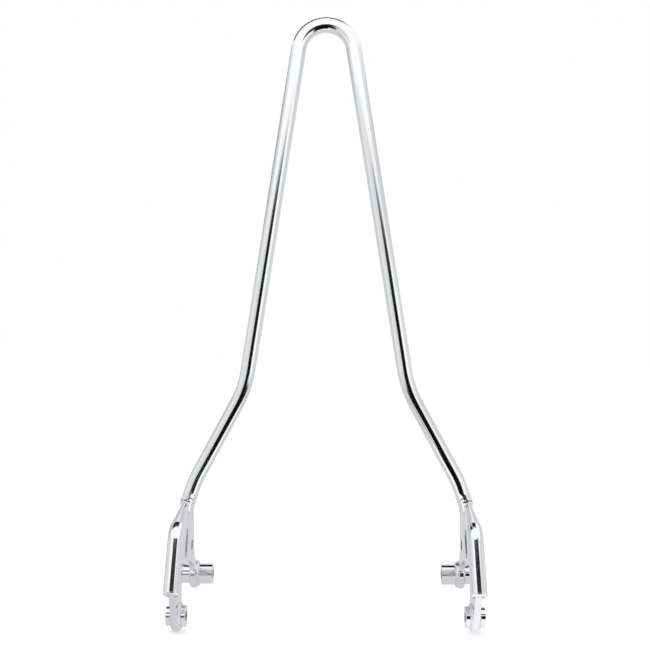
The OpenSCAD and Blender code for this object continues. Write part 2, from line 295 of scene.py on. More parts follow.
class BarWalk:
    """Draws a round bar out ring by ring: straights are extruded and bends are spun."""

    def __init__(self, start, heading, radius, sides=ROUND):
        clear()
        bpy.ops.mesh.primitive_circle_add(vertices=sides, radius=radius, fill_type="NOTHING")
        self.obj = bpy.context.object
        turn = heading.to_track_quat("Z", "Y").to_matrix().to_4x4()
        self.obj.matrix_world = Matrix.Translation(start) @ turn
        settle(self.obj)
        edit(self.obj)
        self.at, self.heading = start.copy(), heading.copy()

    def go(self, length, to_size=1.0):
        """A straight stretch, which may taper."""
        move = self.heading * length
        bpy.ops.mesh.extrude_region_move(TRANSFORM_OT_translate={"value": move})
        self.at = self.at + move
        if to_size != 1.0:
            bpy.ops.transform.resize(value=(to_size,) * 3, center_override=self.at)

    def bend(self, radius, angle, towards, steps):
        """A bend towards one side."""
        centre = self.at + towards * radius
        axis = self.heading.cross(towards)
        bpy.ops.mesh.spin(steps=steps, angle=-angle, center=centre, axis=axis)
        turn = Matrix.Rotation(angle, 3, axis)
        self.at = centre + turn @ (self.at - centre)
        self.heading = turn @ self.heading
        mesh = bmesh.from_edit_mesh(self.obj.data)
        ring = [v.co for v in mesh.verts if v.select]
        middle = sum(ring, Vector()) / len(ring)
        if (middle - self.at).length > 0.0001:
            raise RuntimeError("a bend went the wrong way")

    def close(self):
        """Caps both ends."""
        bpy.ops.mesh.select_all(action="SELECT")
        bpy.ops.mesh.fill_holes(sides=0)
        tidy(self.obj)
        return self.obj


def turned(profile, x, y, z, outward=1.0, steps=ROUND):
    """A closed profile of (radius, distance outward along X) points, spun round the X axis."""
    clear()
    radius, along = profile[0]
    bpy.ops.mesh.primitive_plane_add(size=0.001)
    obj = bpy.context.object
    obj.location = (x + outward * along, y, z + radius)
    settle(obj)
    edit(obj)
    bpy.ops.mesh.merge(type="CENTER")
    for (r0, a0), (r1, a1) in zip(profile, profile[1:] + profile[:1]):
        bpy.ops.mesh.extrude_region_move(
            TRANSFORM_OT_translate={"value": (outward * (a1 - a0), 0.0, r1 - r0)})
    bpy.ops.mesh.select_all(action="SELECT")
    bpy.ops.mesh.remove_doubles(threshold=MERGE)
    bpy.ops.mesh.spin(steps=steps, angle=2 * pi, center=(x, y, z), axis=(1.0, 0.0, 0.0))
    tidy(obj)
    return obj


# How far a weld bead bulges against its leg, and how deep it sits in the sleeve and in the plate
BEAD_BULGE, BEAD_SINK, BEAD_FOOT_SINK = 0.16, 0.0003, 0.0002
# A ripple's steep front against its back, and the height on a ripple that the plain bead has
RIPPLE_FRONT, RIPPLE_MEAN = 7.0, 0.75


def bead_profile(sleeve_r, foot_r, half_t, leg, points=9):
    """Cross-section of a weld bead that bulges a little between sleeve and plate."""
    arc = []
    for i in range(points):
        t = i / (points - 1)
        bulge = BEAD_BULGE * leg * sin(pi * t)
        arc.append((foot_r + (sleeve_r - foot_r) * t + bulge, half_t + leg * t + bulge))
    return [(sleeve_r - BEAD_SINK, half_t - BEAD_FOOT_SINK), (foot_r, half_t - BEAD_FOOT_SINK)] + arc + [
        (sleeve_r - BEAD_SINK, half_t + leg)]


def scallop(phase):
    """Height of a weld ripple, 0 to 1, steep on one side as a laid bead is."""
    p = phase % 1.0
    return (1.0 - p) ** 0.5 * min(1.0, p * RIPPLE_FRONT)


def ripple(obj, depth, phase_of, held):
    """Raises ripples on a bead along its normals; held says where it stays as it is."""
    normals = [v.normal.copy() for v in obj.data.vertices]
    for vertex, normal in zip(obj.data.vertices, normals):
        if not held(vertex.co):
            vertex.co += normal * (scallop(phase_of(vertex.co)) - RIPPLE_MEAN) * depth


# Faces that turn less than this, in degrees, count as one flat face
FLAT = 0.6


def cad_copy(node):
    """A copy of a CAD node with its doubles merged and its flat faces made whole."""
    clear()
    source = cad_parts[node]
    obj = bpy.data.objects.new(node + "_copy", source.data.copy())
    obj.matrix_world = source.matrix_world
    bpy.context.scene.collection.objects.link(obj)
    settle(obj)
    edit(obj)
    bpy.ops.mesh.remove_doubles(threshold=FRAME_MERGE)
    bpy.ops.mesh.dissolve_limited(angle_limit=radians(FLAT))
    bpy.ops.mesh.normals_make_consistent(inside=False)
    clear()
    return obj


# Finishes

# Scales and depths of the plating's fine marks: the haze's own detail, orange peel and cast pits
FINE_HAZE = 3.1
PEEL_SCALE, PEEL_DEPTH = 420.0, 0.0001
PIT_SCALE, PIT_DEPTH = 900.0, 0.0002
# Painted shade in a seam, drawn as dark metal: its darkest and lightest tone, and the scale of its mottling
SEAM_SHADE_DARK, SEAM_SHADE_LIGHT, SEAM_SHADE_SCALE = (0.01, 0.01, 0.012), (0.07, 0.07, 0.075), 700.0


def bare_material(name):
    """A new material with its nodes, its links and nothing in it but the output."""
    material = bpy.data.materials.new(name)
    material.use_nodes = True
    nodes = material.node_tree.nodes
    nodes.clear()
    return material, nodes, material.node_tree.links, nodes.new("ShaderNodeOutputMaterial")


def chrome(name, dull, rough, peel, haze_scale=38.0, grain=0.0, tint="bright"):
    """Plated metal: hazy patches, fine orange peel and, on welds, a cast grain under the plating."""
    found = bpy.data.materials.get(name)
    if found:
        return found
    finish = bpy.context.scene.sissy_finish
    material, nodes, links, out = bare_material(name)
    shader = nodes.new("ShaderNodeBsdfPrincipled")
    shader.inputs["Metallic"].default_value = 1.0
    links.new(shader.outputs["BSDF"], out.inputs["Surface"])
    place = nodes.new("ShaderNodeTexCoord")

    def noise(scale, detail):
        node = nodes.new("ShaderNodeTexNoise")
        node.inputs["Scale"].default_value = scale
        node.inputs["Detail"].default_value = detail
        links.new(place.outputs["Object"], node.inputs["Vector"])
        return node.outputs["Fac"]

    def spread(value, low, high, from_low=0.3, from_high=0.7):
        node = nodes.new("ShaderNodeMapRange")
        node.inputs["From Min"].default_value = from_low
        node.inputs["From Max"].default_value = from_high
        node.inputs["To Min"].default_value = low
        node.inputs["To Max"].default_value = high
        links.new(value, node.inputs["Value"])
        return node.outputs["Result"]

    haze = noise(haze_scale, 3.0)
    tone = nodes.new("ShaderNodeMix")
    tone.data_type = "RGBA"
    bright, dim = {"bright": (finish.chrome, finish.chrome_dull),
                   "cool": (finish.cool_chrome, finish.cool_dull)}[tint]
    tone.inputs["A"].default_value = (*bright, 1.0)
    tone.inputs["B"].default_value = (*dim, 1.0)
    links.new(spread(haze, 0.0, dull, 0.45, 0.75), tone.inputs["Factor"])
    links.new(tone.outputs["Result"], shader.inputs["Base Color"])
    links.new(spread(noise(haze_scale * FINE_HAZE, 4.0), rough[0], rough[1]), shader.inputs["Roughness"])

    skin = nodes.new("ShaderNodeBump")
    skin.inputs["Strength"].default_value = peel
    skin.inputs["Distance"].default_value = PEEL_DEPTH
    links.new(noise(PEEL_SCALE, 2.0), skin.inputs["Height"])
    last = skin
    if grain:
        pits = nodes.new("ShaderNodeTexVoronoi")
        pits.inputs["Scale"].default_value = PIT_SCALE
        links.new(place.outputs["Object"], pits.inputs["Vector"])
        cast = nodes.new("ShaderNodeBump")
        cast.inputs["Strength"].default_value = grain
        cast.inputs["Distance"].default_value = PIT_DEPTH
        links.new(pits.outputs["Distance"], cast.inputs["Height"])
        links.new(skin.outputs["Normal"], cast.inputs["Normal"])
        last = cast
    links.new(last.outputs["Normal"], shader.inputs["Normal"])
    return material


def bar_chrome():
    """The mirror-bright plating of the polished bar."""
    return chrome("bar_chrome", dull=0.35, rough=(0.015, 0.04), peel=0.012)


def plate_chrome():
    """The plating on flat steel, a little less polished."""
    return chrome("plate_chrome", dull=0.6, rough=(0.04, 0.1), peel=0.035, haze_scale=55.0, tint="cool")


def sleeve_chrome():
    """The plating on turned steel."""
    return chrome("sleeve_chrome", dull=0.5, rough=(0.025, 0.06), peel=0.02, haze_scale=70.0, tint="cool")


def weld_chrome():
    """The plating over weld beads."""
    return chrome("weld_chrome", dull=0.9, rough=(0.09, 0.18), peel=0.06, haze_scale=90.0, grain=0.2,
                  tint="cool")


def seam_painted_shade():
    """Painted shade deep in a seam: dark, mottled metal that stands in for the shadow there."""
    found = bpy.data.materials.get("seam_painted_shade")
    if found:
        return found
    material = bpy.data.materials.new("seam_painted_shade")
    material.use_nodes = True
    nodes, links = material.node_tree.nodes, material.node_tree.links
    shader = nodes["Principled BSDF"]
    place = nodes.new("ShaderNodeTexCoord")
    # random mottling of the painted seam shade
    shade_mottle = nodes.new("ShaderNodeTexNoise")
    shade_mottle.inputs["Scale"].default_value = SEAM_SHADE_SCALE
    links.new(place.outputs["Object"], shade_mottle.inputs["Vector"])
    tone = nodes.new("ShaderNodeMix")
    tone.data_type = "RGBA"
    tone.inputs["A"].default_value = (*SEAM_SHADE_DARK, 1.0)
    tone.inputs["B"].default_value = (*SEAM_SHADE_LIGHT, 1.0)
    links.new(shade_mottle.outputs["Fac"], tone.inputs["Factor"])
    links.new(tone.outputs["Result"], shader.inputs["Base Color"])
    links.new(shade_mottle.outputs["Fac"], shader.inputs["Roughness"])
    return material


# Pieces

SIDES = (("right", 1.0), ("left", -1.0))

# The last stretch of each leg tilts forward a little, down to where the weld collar hides its end
FORWARD = Vector((0.0, 1.0, 0.0))
TIP_TILT = radians(10.0)
TIP_BEND_R = 0.02
TIP_LENGTH = 0.010
TIP_STRAIGHT = 0.0106

# How finely each bend of the hoop is divided, and the rounding of its ends
TIP_STEPS, ANKLE_STEPS, KNEE_STEPS, TOP_STEPS = 6, 12, 24, 72
HOOP_RIM = 0.0008


def end_of_hoop(hoop, bracket):
    """How far out the bar ends: over the bent-in top of a plate, at the height of the bar's end."""
    lean = hoop.end_splay
    rise = hoop.end_z - bracket.bend_z - bracket.bend_r * sin(lean)
    return bracket.plate_x - bracket.bend_r * (1 - cos(lean)) - rise * tan(lean)


def tip_of_hoop(context, sign):
    """Where a leg of the hoop ends, and the way it runs up from there."""
    hoop = context.scene.sissy_hoop
    end_x = end_of_hoop(hoop, context.scene.sissy_bracket)
    up = Vector((-sign * sin(hoop.end_splay), 0.0, cos(hoop.end_splay)))
    heading = up * cos(TIP_TILT) - FORWARD * sin(TIP_TILT)
    bend_end = Vector((sign * end_x, hoop.y, hoop.end_z)) + up * TIP_LENGTH
    bend_start = bend_end - up * (TIP_BEND_R * sin(TIP_TILT)) + FORWARD * (TIP_BEND_R * (1 - cos(TIP_TILT)))
    return bend_start - heading * TIP_STRAIGHT, heading


class SISSY_OT_hoop(bpy.types.Operator):
    """Bends the hoop from one round bar"""
    bl_idname = "sissy.hoop"
    bl_label = "Hoop"

    def execute(self, context):
        hoop = context.scene.sissy_hoop
        lean_up, lean_low, lean_end = hoop.upper_splay, hoop.lower_splay, hoop.end_splay
        end_x = end_of_hoop(hoop, context.scene.sissy_bracket)
        ankle_x = end_x - (hoop.ankle_z - hoop.end_z) * tan(lean_end)
        top_centre_z = hoop.top_z - hoop.bar_d / 2 - hoop.top_bend_r
        top_leg_x = hoop.top_bend_r / cos(lean_up)
        knee_z = (ankle_x + hoop.ankle_z * tan(lean_low) - top_leg_x - top_centre_z * tan(lean_up)) / (
            tan(lean_low) - tan(lean_up))
        # what each bend takes off the straights beside it
        knee_cut = hoop.knee_r * tan((lean_low - lean_up) / 2)
        ankle_cut = hoop.ankle_r * tan((lean_low - lean_end) / 2)
        top_leg = (top_centre_z + hoop.top_bend_r * sin(lean_up) - knee_z) / cos(lean_up) - knee_cut
        low_leg = (knee_z - hoop.ankle_z) / cos(lean_low) - knee_cut - ankle_cut
        end_leg = (hoop.ankle_z - hoop.end_z) / cos(lean_end) - ankle_cut - TIP_LENGTH

        start, heading = tip_of_hoop(context, 1.0)
        bar = BarWalk(start, heading, hoop.bar_d / 2)

        def inward():
            return bar.heading.cross(-FORWARD)

        bar.go(TIP_STRAIGHT)
        bar.bend(TIP_BEND_R, TIP_TILT, (FORWARD + bar.heading * tan(TIP_TILT)).normalized(), TIP_STEPS)
        bar.go(end_leg)
        bar.bend(hoop.ankle_r, lean_low - lean_end, -inward(), ANKLE_STEPS)
        bar.go(low_leg)
        bar.bend(hoop.knee_r, lean_low - lean_up, inward(), KNEE_STEPS)
        bar.go(top_leg)
        bar.bend(hoop.top_bend_r, pi - 2 * lean_up, -inward(), TOP_STEPS)
        bar.go(top_leg)
        bar.bend(hoop.knee_r, lean_low - lean_up, inward(), KNEE_STEPS)
        bar.go(low_leg)
        bar.bend(hoop.ankle_r, lean_low - lean_end, -inward(), ANKLE_STEPS)
        bar.go(end_leg)
        bar.bend(TIP_BEND_R, TIP_TILT, FORWARD, TIP_STEPS)
        bar.go(TIP_STRAIGHT)
        obj = bar.close()
        round_edges(obj, HOOP_RIM)
        smooth(obj)
        true_normals(obj)
        dress(obj, "hoop", bar_chrome())
        return {"FINISHED"}


class SISSY_OT_plates(bpy.types.Operator):
    """Rounds the edges of the two side plates"""
    bl_idname = "sissy.plates"
    bl_label = "Side plates"

    def execute(self, context):
        for side, _ in SIDES:
            plate = cad_copy(side + "_plate")
            round_edges(plate, context.scene.sissy_bracket.rim_round, angle=50.0)
            smooth(plate, 25.0)
            true_normals(plate)
            dress(plate, side + "_plate", plate_chrome())
        return {"FINISHED"}


RAIL_BEND_STEPS = 24
RAIL_RIM, RAIL_RIM_STEPS = 0.0022, 6


def rail_line(bracket):
    """The corner that a rail's top bend rounds off, the way up to it and the length below it."""
    corner = Vector((0.0, *bracket.rail_corner))
    heading = Vector((0.0, sin(bracket.rail_lean), cos(bracket.rail_lean)))
    return corner, heading, (corner.z - bracket.rail_end_z) / cos(bracket.rail_lean)


class SISSY_OT_rails(bpy.types.Operator):
    """Bends and tapers the rails on the plates' rear edges"""
    bl_idname = "sissy.rails"
    bl_label = "Rails"

    def execute(self, context):
        bar_d = context.scene.sissy_hoop.bar_d
        bracket = context.scene.sissy_bracket
        corner, heading, length = rail_line(bracket)
        tip = Vector((0.0, *bracket.rail_tip))
        turn = heading.angle((tip - corner).normalized())
        bend_cut = bracket.rail_bend_r * tan(turn / 2)
        for side, sign in SIDES:
            start = corner - heading * length
            start.x = sign * bracket.plate_x
            rail = BarWalk(start, heading, bar_d / 2)
            rail.go(length - bend_cut)
            rail.bend(bracket.rail_bend_r, turn, heading.cross(Vector((1.0, 0.0, 0.0))), RAIL_BEND_STEPS)
            rail.go((tip - corner).length - bend_cut, to_size=bracket.rail_tip_d / bar_d)
            obj = rail.close()
            round_edges(obj, RAIL_RIM, segments=RAIL_RIM_STEPS)
            smooth(obj)
            true_normals(obj)
            dress(obj, side + "_rail", bar_chrome())
        return {"FINISHED"}


def docking_ends(sleeve):
    """Name, place (forward, up), diameters, reaches and weld legs of the front and the rear end."""
    return (("front", sleeve.dock_y, sleeve.dock_z, sleeve.front_d, sleeve.front_reach, sleeve.front_weld),
            ("rear", 0.0, 0.0, sleeve.rear_d, sleeve.rear_reach, sleeve.rear_weld))


class SISSY_OT_sleeves(bpy.types.Operator):
    """Turns the four docking sleeves"""
    bl_idname = "sissy.sleeves"
    bl_label = "Docking sleeves"

    def execute(self, context):
        bracket = context.scene.sissy_bracket
        sizes = context.scene.sissy_sleeve
        half = bracket.plate_t / 2
        bore = sizes.bore_d / 2
        for end, y, z, (shoulder_d, spigot_d), (inner, outer), _ in docking_ends(sizes):
            profile = [(bore, -inner), (shoulder_d / 2, -inner), (shoulder_d / 2, -half),
                       (spigot_d / 2, -half), (spigot_d / 2, outer), (bore, outer)]
            for side, sign in SIDES:
                sleeve = turned(profile, sign * bracket.plate_x, y, z, sign)
                round_edges(sleeve, sizes.rim_round, angle=50.0)
                smooth(sleeve)
                true_normals(sleeve)
                dress(sleeve, f"{side}_{end}_sleeve", sleeve_chrome())
        return {"FINISHED"}


# Divisions of one weld ripple round a ring and along a bead
RING_STEPS, BEAD_STEPS = 8, 7
# A ring stays as it is within this of the plate's face and of its sleeve, so that no gap opens
HELD_AT_FACE, HELD_AT_SLEEVE = 0.00005, 0.00002


class SISSY_OT_ring_welds(bpy.types.Operator):
    """Lays the rippled weld rings between sleeves and plates"""
    bl_idname = "sissy.ring_welds"
    bl_label = "Weld rings"

    def execute(self, context):
        bracket = context.scene.sissy_bracket
        sizes = context.scene.sissy_sleeve
        half = bracket.plate_t / 2
        count = round(2 * pi * sizes.weld_foot / sizes.ripple_pitch)
        for end, y, z, d, _, legs in docking_ends(sizes):
            for face, way, size, leg in (("inner", -1.0, d[0], legs[0]), ("outer", 1.0, d[1], legs[1])):
                profile = bead_profile(size / 2, sizes.weld_foot, half, leg)
                for side, sign in SIDES:
                    x = sign * bracket.plate_x
                    ring = turned(profile, x, y, z, way * sign, steps=count * RING_STEPS)

                    def phase(co):
                        angle = Vector((co.y - y, co.z - z)).angle_signed(Vector((1.0, 0.0)), 0.0)
                        return count * angle / (2 * pi)

                    def held(co):
                        return abs(co.x - x) < half + HELD_AT_FACE or (
                            Vector((co.y - y, co.z - z)).length < size / 2 + HELD_AT_SLEEVE)

                    ripple(ring, sizes.ripple_depth, phase, held)
                    smooth(ring, 40.0)
                    dress(ring, f"{side}_{end}_weld_{face}", weld_chrome())
        return {"FINISHED"}


# A weld bead along a rail: its radius and facets, how far its middle line lies in front of the
# rail's and out of the plate's face, its start over the rail's end, and how much shorter it is
BEAD_R, BEAD_SIDES = 0.0027, 24
BEAD_FORWARD, BEAD_OUT = 0.0077, 0.0008
BEAD_START, BEAD_SHORTER = 0.0035, 0.009
# The bead's ends narrow in short steps: the first ring against the radius, then each step's scaling
BEAD_END_STEP = 0.0007
BEAD_FIRST, BEAD_OPENS, BEAD_CLOSES = 0.55, (1.45, 1.254), (0.8, 0.69)
# No ripples this near the bead's lower end, and past its last ripple by this much
BEAD_PLAIN_LOW, BEAD_PLAIN_HIGH = 0.002, 0.0006


class SISSY_OT_rail_welds(bpy.types.Operator):
    """Lays the rippled weld beads along the rails"""
    bl_idname = "sissy.rail_welds"
    bl_label = "Rail welds"

    def execute(self, context):
        bracket = context.scene.sissy_bracket
        sizes = context.scene.sissy_sleeve
        pitch = sizes.ripple_pitch
        corner, heading, length = rail_line(bracket)
        forward = Vector((0.0, heading.z, -heading.y))
        low = corner - heading * (length - BEAD_START) + forward * BEAD_FORWARD
        count = round((length - BEAD_SHORTER) / pitch)
        for side, sign in SIDES:
            for face, way in (("inner", -1.0), ("outer", 1.0)):
                x = sign * (bracket.plate_x + way * (bracket.plate_t / 2 + BEAD_OUT))
                start = low + Vector((x, 0.0, 0.0))
                bead = BarWalk(start, heading, BEAD_R * BEAD_FIRST, sides=BEAD_SIDES)
                for scale in BEAD_OPENS:
                    bead.go(BEAD_END_STEP, to_size=scale)
                for _ in range(count * BEAD_STEPS):
                    bead.go(pitch / BEAD_STEPS)
                for scale in BEAD_CLOSES:
                    bead.go(BEAD_END_STEP, to_size=scale)
                obj = bead.close()

                def phase(co):
                    return (co - start).dot(heading) / pitch

                def held(co):
                    along = (co - start).dot(heading)
                    return along < BEAD_PLAIN_LOW or along > count * pitch + BEAD_PLAIN_HIGH

                ripple(obj, sizes.ripple_depth, phase, held)
                smooth(obj, 40.0)
                dress(obj, f"{side}_rail_weld_{face}", weld_chrome())
        return {"FINISHED"}


# Each step of a weld collar: how much it still leans, its length, and its size against the bar
COLLAR = ((1.0, 0.0012, 1.0), (1.0, 0.0009, 1.0), (1.0, 0.003, 1.0), (0.95, 0.003, 0.99),
          (0.6, 0.003, 0.98), (0.3, 0.003, 0.955), (0.1, 0.0028, 0.9), (0.0, 0.002, 0.8),
          (0.0, 0.0014, 0.62), (0.0, 0.0006, 0.35))
# It starts this far up the bar and stands a little proud of it
COLLAR_RISE = 0.0100
COLLAR_PROUD = 0.00012
# Its top edge is notched like a roof: the drop at the bar's sides, where the ridge lies inward of
# the bar's middle, and how far down the collar the notch fades away
NOTCH = 0.0066
APEX = 0.0019
NOTCH_FADE = 0.014
# The painted seam shade along that edge: its width, and how far inward of the ridge it reaches
SEAM_SHADE_WIDTH = 0.0009
SEAM_SHADE_PAST_APEX = 0.0026


class SISSY_OT_hoop_welds(bpy.types.Operator):
    """Runs the weld collars from the notched seams at the hoop's ends down into the plates, with painted
    shade along the seams
    """
    bl_idname = "sissy.hoop_welds"
    bl_label = "Hoop welds"

    def execute(self, context):
        radius = context.scene.sissy_hoop.bar_d / 2
        for side, sign in SIDES:
            tip, up = tip_of_hoop(context, sign)
            start = tip + up * COLLAR_RISE
            collar = BarWalk(start, -up, radius + COLLAR_PROUD)
            size = 1.0
            for lean, length, to in COLLAR:
                collar.heading = Vector((-up.x * lean, -up.y, -up.z)).normalized()
                collar.go(length, to_size=to / size)
                size = to
            obj = collar.close()
            inward = Vector((-sign, 0.0, 0.0))
            inward = (inward - up * inward.dot(up)).normalized()

            def drop(co):
                return NOTCH * abs((co - start).dot(inward) - APEX) / radius

            for vertex in obj.data.vertices:
                below = (start - vertex.co).dot(up)
                vertex.co -= up * drop(vertex.co) * max(0.0, 1.0 - below / NOTCH_FADE)
            smooth(obj, 50.0)
            # the collars are polished with the bar, so they shine as it does
            dress(obj, f"{side}_hoop_weld", bar_chrome())
            # a second slot holds the painted seam shade, laid on the faces along the notched edge
            obj.data.materials.append(seam_painted_shade())
            for face in obj.data.polygons:
                corners = [obj.data.vertices[i].co for i in face.vertices]
                middle = sum(corners, Vector()) / len(corners)
                near_edge = (start - middle).dot(up) - drop(middle) < SEAM_SHADE_WIDTH
                if len(corners) == 4 and near_edge and (middle - start).dot(inward) < APEX + SEAM_SHADE_PAST_APEX:
                    face.material_index = 1
        return {"FINISHED"}


# Studio

# A ramp holds tones up to 1, so the tent's tones are kept in it as shares of this one
TONE_TOP = 1.2


def around(stops):
    """Stops of a Color Ramp that runs once round the object."""
    return [((angle + 180.0) / 360.0, tone / TONE_TOP) for angle, tone in stops]


# The tent all round, low down and high up: (degrees, tone), 0 at the camera and positive to its right
LOW_ROUND = around([(-180, 0.76), (-140, 0.72), (-125, 0.67), (-100, 0.76), (-80, 0.92), (-62, 0.87),
                    (-45, 0.82), (-28, 0.77), (0, 0.77), (22, 0.79), (32, 0.9), (40, 1.08), (45, 1.15),
                    (60, 1.1), (72, 0.9), (100, 0.79), (125, 0.76), (180, 0.76)])
HIGH_ROUND = around([(-180, 0.62), (-125, 0.42), (-111, 0.5), (-99, 0.66), (-88, 0.78), (-70, 0.85),
                     (-52, 1.08), (0, 1.12), (38, 1.12), (48, 0.92), (60, 0.68), (72, 0.72),
                     (90, 0.75), (111, 0.66), (130, 0.68), (180, 0.62)])
TENT_R, TENT_Z = 2.2, 0.3
# Heights between which the low tones turn into the high ones, and those into the plain top
SIDES_TO_HIGH, SIDES_TO_TOP = (0.6, 1.0), (1.15, 1.6)
TOP_TONE = 1.1

# Fields of the studio, each along one axis: (start, end, softness), or for one edge (start, end)
FLOOR_Z, FLOOR_REACH, FLOOR_TONE = (-0.016, 0.05), (0.5, 1.1), 0.72
PATCH_X, PATCH_Y, PATCH_TONE = (-0.12, 0.34, 0.08), (-0.4, 0.0, 0.05), 1.1
GLOOM_X, GLOOM_Y, GLOOM_Z, GLOOM_TONE = (0.5, 0.9), (0.3, 0.5), (1.6, 2.43, 0.14), 0.02
SLIT_LEFT, SLIT_RIGHT, SLIT_Z = (-0.32, -0.06), (0.6, 0.84), (-1.0, 0.58, 0.22)
SLIT_LOW, SLIT_LOW_SHIFT = (0.3, 0.42), 0.08
SLIT_LOWEST, SLIT_LOWEST_SHIFT = (0.07, 0.13), 0.1
APRON_NEAR_X, APRON_NEAR_Y = (-0.08, 0.5, 0.02), (-2.0, -0.165, 0.03)
APRON_FAR_X, APRON_FAR_Y = (-0.4, 0.5, 0.06), (-2.0, -0.4, 0.03)
STRIP_X, STRIP_Z = (-0.24, 0.24, 0.05), (0.006, 0.011)
HEADER_X, HEADER_LOW, HEADER_TOP, HEADER_BOW = (-0.6, 0.95, 0.1), (0.8, 0.84), (1.18, 1.21), 0.6
REFLECTOR_TONE = 1.13

FLOOR_SIZE, FLOOR_LIFT = 14.0, 0.3
# The floor lies this far under the object, and the tent and the cards end just over the floor
FLOOR_GAP, TENT_FOOT, CARD_FOOT, APRON_RISE = 0.001, 0.0005, 0.0006, 0.0007
LAMP_PLACE, LAMP_AIM = Vector((-0.9, -1.2, 2.1)), Vector((0.0, 0.0, 0.25))
LAMP_SIZE, LAMP_POWER = (1.6, 1.2), 12.0
CAMERA_PLACE, CAMERA_TURN, CAMERA_LENS = (0.0154, -1.0, 0.2875), radians(0.9), 56.15


class Graph:
    """Short hands for Math, Map Range and Color Ramp nodes."""

    def __init__(self, nodes, links):
        self.nodes, self.links = nodes, links
        place = nodes.new("ShaderNodeTexCoord")
        split = nodes.new("ShaderNodeSeparateXYZ")
        links.new(place.outputs["Object"], split.inputs["Vector"])
        self.x, self.y, self.z = (split.outputs[axis] for axis in "XYZ")

    def math(self, operation, a, b=None):
        """One Math node; a value is a number or a socket."""
        node = self.nodes.new("ShaderNodeMath")
        node.operation = operation
        for socket, value in zip(node.inputs, (a, b)):
            if isinstance(value, (int, float)):
                socket.default_value = value
            elif value is not None:
                self.links.new(value, socket)
        return node.outputs["Value"]

    def product(self, first, *others):
        """All the values multiplied."""
        for other in others:
            first = self.math("MULTIPLY", first, other)
        return first

    def opposite(self, value):
        """0 where the value is 1, and 1 where it is 0."""
        return self.math("SUBTRACT", 1.0, value)

    def step(self, value, low, high):
        """0 below low, 1 above high, smooth between them."""
        node = self.nodes.new("ShaderNodeMapRange")
        node.interpolation_type = "SMOOTHSTEP"
        node.inputs["From Min"].default_value = low
        node.inputs["From Max"].default_value = high
        self.links.new(value, node.inputs["Value"])
        return node.outputs["Result"]

    def window(self, value, low, high, soft):
        """1 between low and high, fading over soft at both ends."""
        return self.product(self.step(value, low - soft / 2, low + soft / 2),
                            self.opposite(self.step(value, high - soft / 2, high + soft / 2)))

    def ramp(self, value, stops):
        """The grey tone at a value from 0 to 1, straight from one stop to the next."""
        node = self.nodes.new("ShaderNodeValToRGB")
        band = node.color_ramp
        while len(band.elements) > 1:
            band.elements.remove(band.elements[-1])
        for i, (place, tone) in enumerate(stops):
            element = band.elements[0] if i == 0 else band.elements.new(place)
            element.position = place
            element.color = (tone, tone, tone, 1.0)
        self.links.new(value, node.inputs["Fac"])
        return node.outputs["Color"]

    def blend(self, factor, a, b):
        """a where the factor is 0, and b where it is 1."""
        return self.math("ADD", self.product(a, self.opposite(factor)), self.product(b, factor))


def tent_tones(g):
    """White cloth all round, greyer in places, with a greyer floor and a gloom high up behind."""
    angle = g.math("ARCTAN2", g.x, g.product(g.y, -1.0))
    turn = g.math("ADD", g.product(angle, 1.0 / (2 * pi)), 0.5)
    tone = g.blend(g.step(g.z, *SIDES_TO_HIGH), g.ramp(turn, LOW_ROUND), g.ramp(turn, HIGH_ROUND))
    tone = g.product(tone, TONE_TOP)
    tone = g.blend(g.step(g.z, *SIDES_TO_TOP), tone, TOP_TONE)
    # the floor close by is greyer, with a bright patch in front of the object
    reach = g.math("SQRT", g.math("ADD", g.product(g.x, g.x), g.product(g.y, g.y)))
    below = g.product(g.opposite(g.step(g.z, *FLOOR_Z)), g.opposite(g.step(reach, *FLOOR_REACH)))
    tone = g.blend(below, tone, FLOOR_TONE)
    patch = g.product(g.window(g.x, *PATCH_X), g.window(g.y, *PATCH_Y))
    tone = g.blend(g.product(below, patch), tone, PATCH_TONE)
    gloom = g.product(g.step(g.y, *GLOOM_Y), g.window(g.z, *GLOOM_Z), g.opposite(g.step(g.x, *GLOOM_X)))
    return g.blend(gloom, tone, GLOOM_TONE), None


def slit_alpha(g):
    """Draws the long stripe in the hoop's legs; its left edge lies further out lower down."""
    low = g.product(SLIT_LOW_SHIFT, g.opposite(g.step(g.z, *SLIT_LOW)))
    lowest = g.product(SLIT_LOWEST_SHIFT, g.opposite(g.step(g.z, *SLIT_LOWEST)))
    shifted = g.math("ADD", g.x, g.math("ADD", low, lowest))
    across = g.product(g.step(shifted, *SLIT_LEFT), g.opposite(g.step(g.x, *SLIT_RIGHT)))
    return None, g.product(across, g.window(g.z, *SLIT_Z))


def apron_alpha(g):
    """Carries the stripe on down the lower legs, whose mirrored rays reach the floor."""
    near = g.product(g.window(g.x, *APRON_NEAR_X), g.window(g.y, *APRON_NEAR_Y))
    far = g.product(g.window(g.x, *APRON_FAR_X), g.window(g.y, *APRON_FAR_Y))
    return None, g.math("MAXIMUM", near, far)


def strip_alpha(g):
    """Draws the lower stripe in the sleeves."""
    return None, g.product(g.window(g.x, *STRIP_X), g.step(g.z, *STRIP_Z))


def header_alpha(g):
    """Draws the stripe in the rails; its top edge is bowed."""
    bow = g.math("SUBTRACT", g.z, g.product(HEADER_BOW, g.product(g.x, g.x)))
    height = g.product(g.step(g.z, *HEADER_LOW), g.opposite(g.step(bow, *HEADER_TOP)))
    return None, g.product(g.window(g.x, *HEADER_X), height)


def reflector_tone(g):
    """Keeps the rails' bends white."""
    value = g.nodes.new("ShaderNodeValue")
    value.outputs["Value"].default_value = REFLECTOR_TONE
    return value.outputs["Value"], None


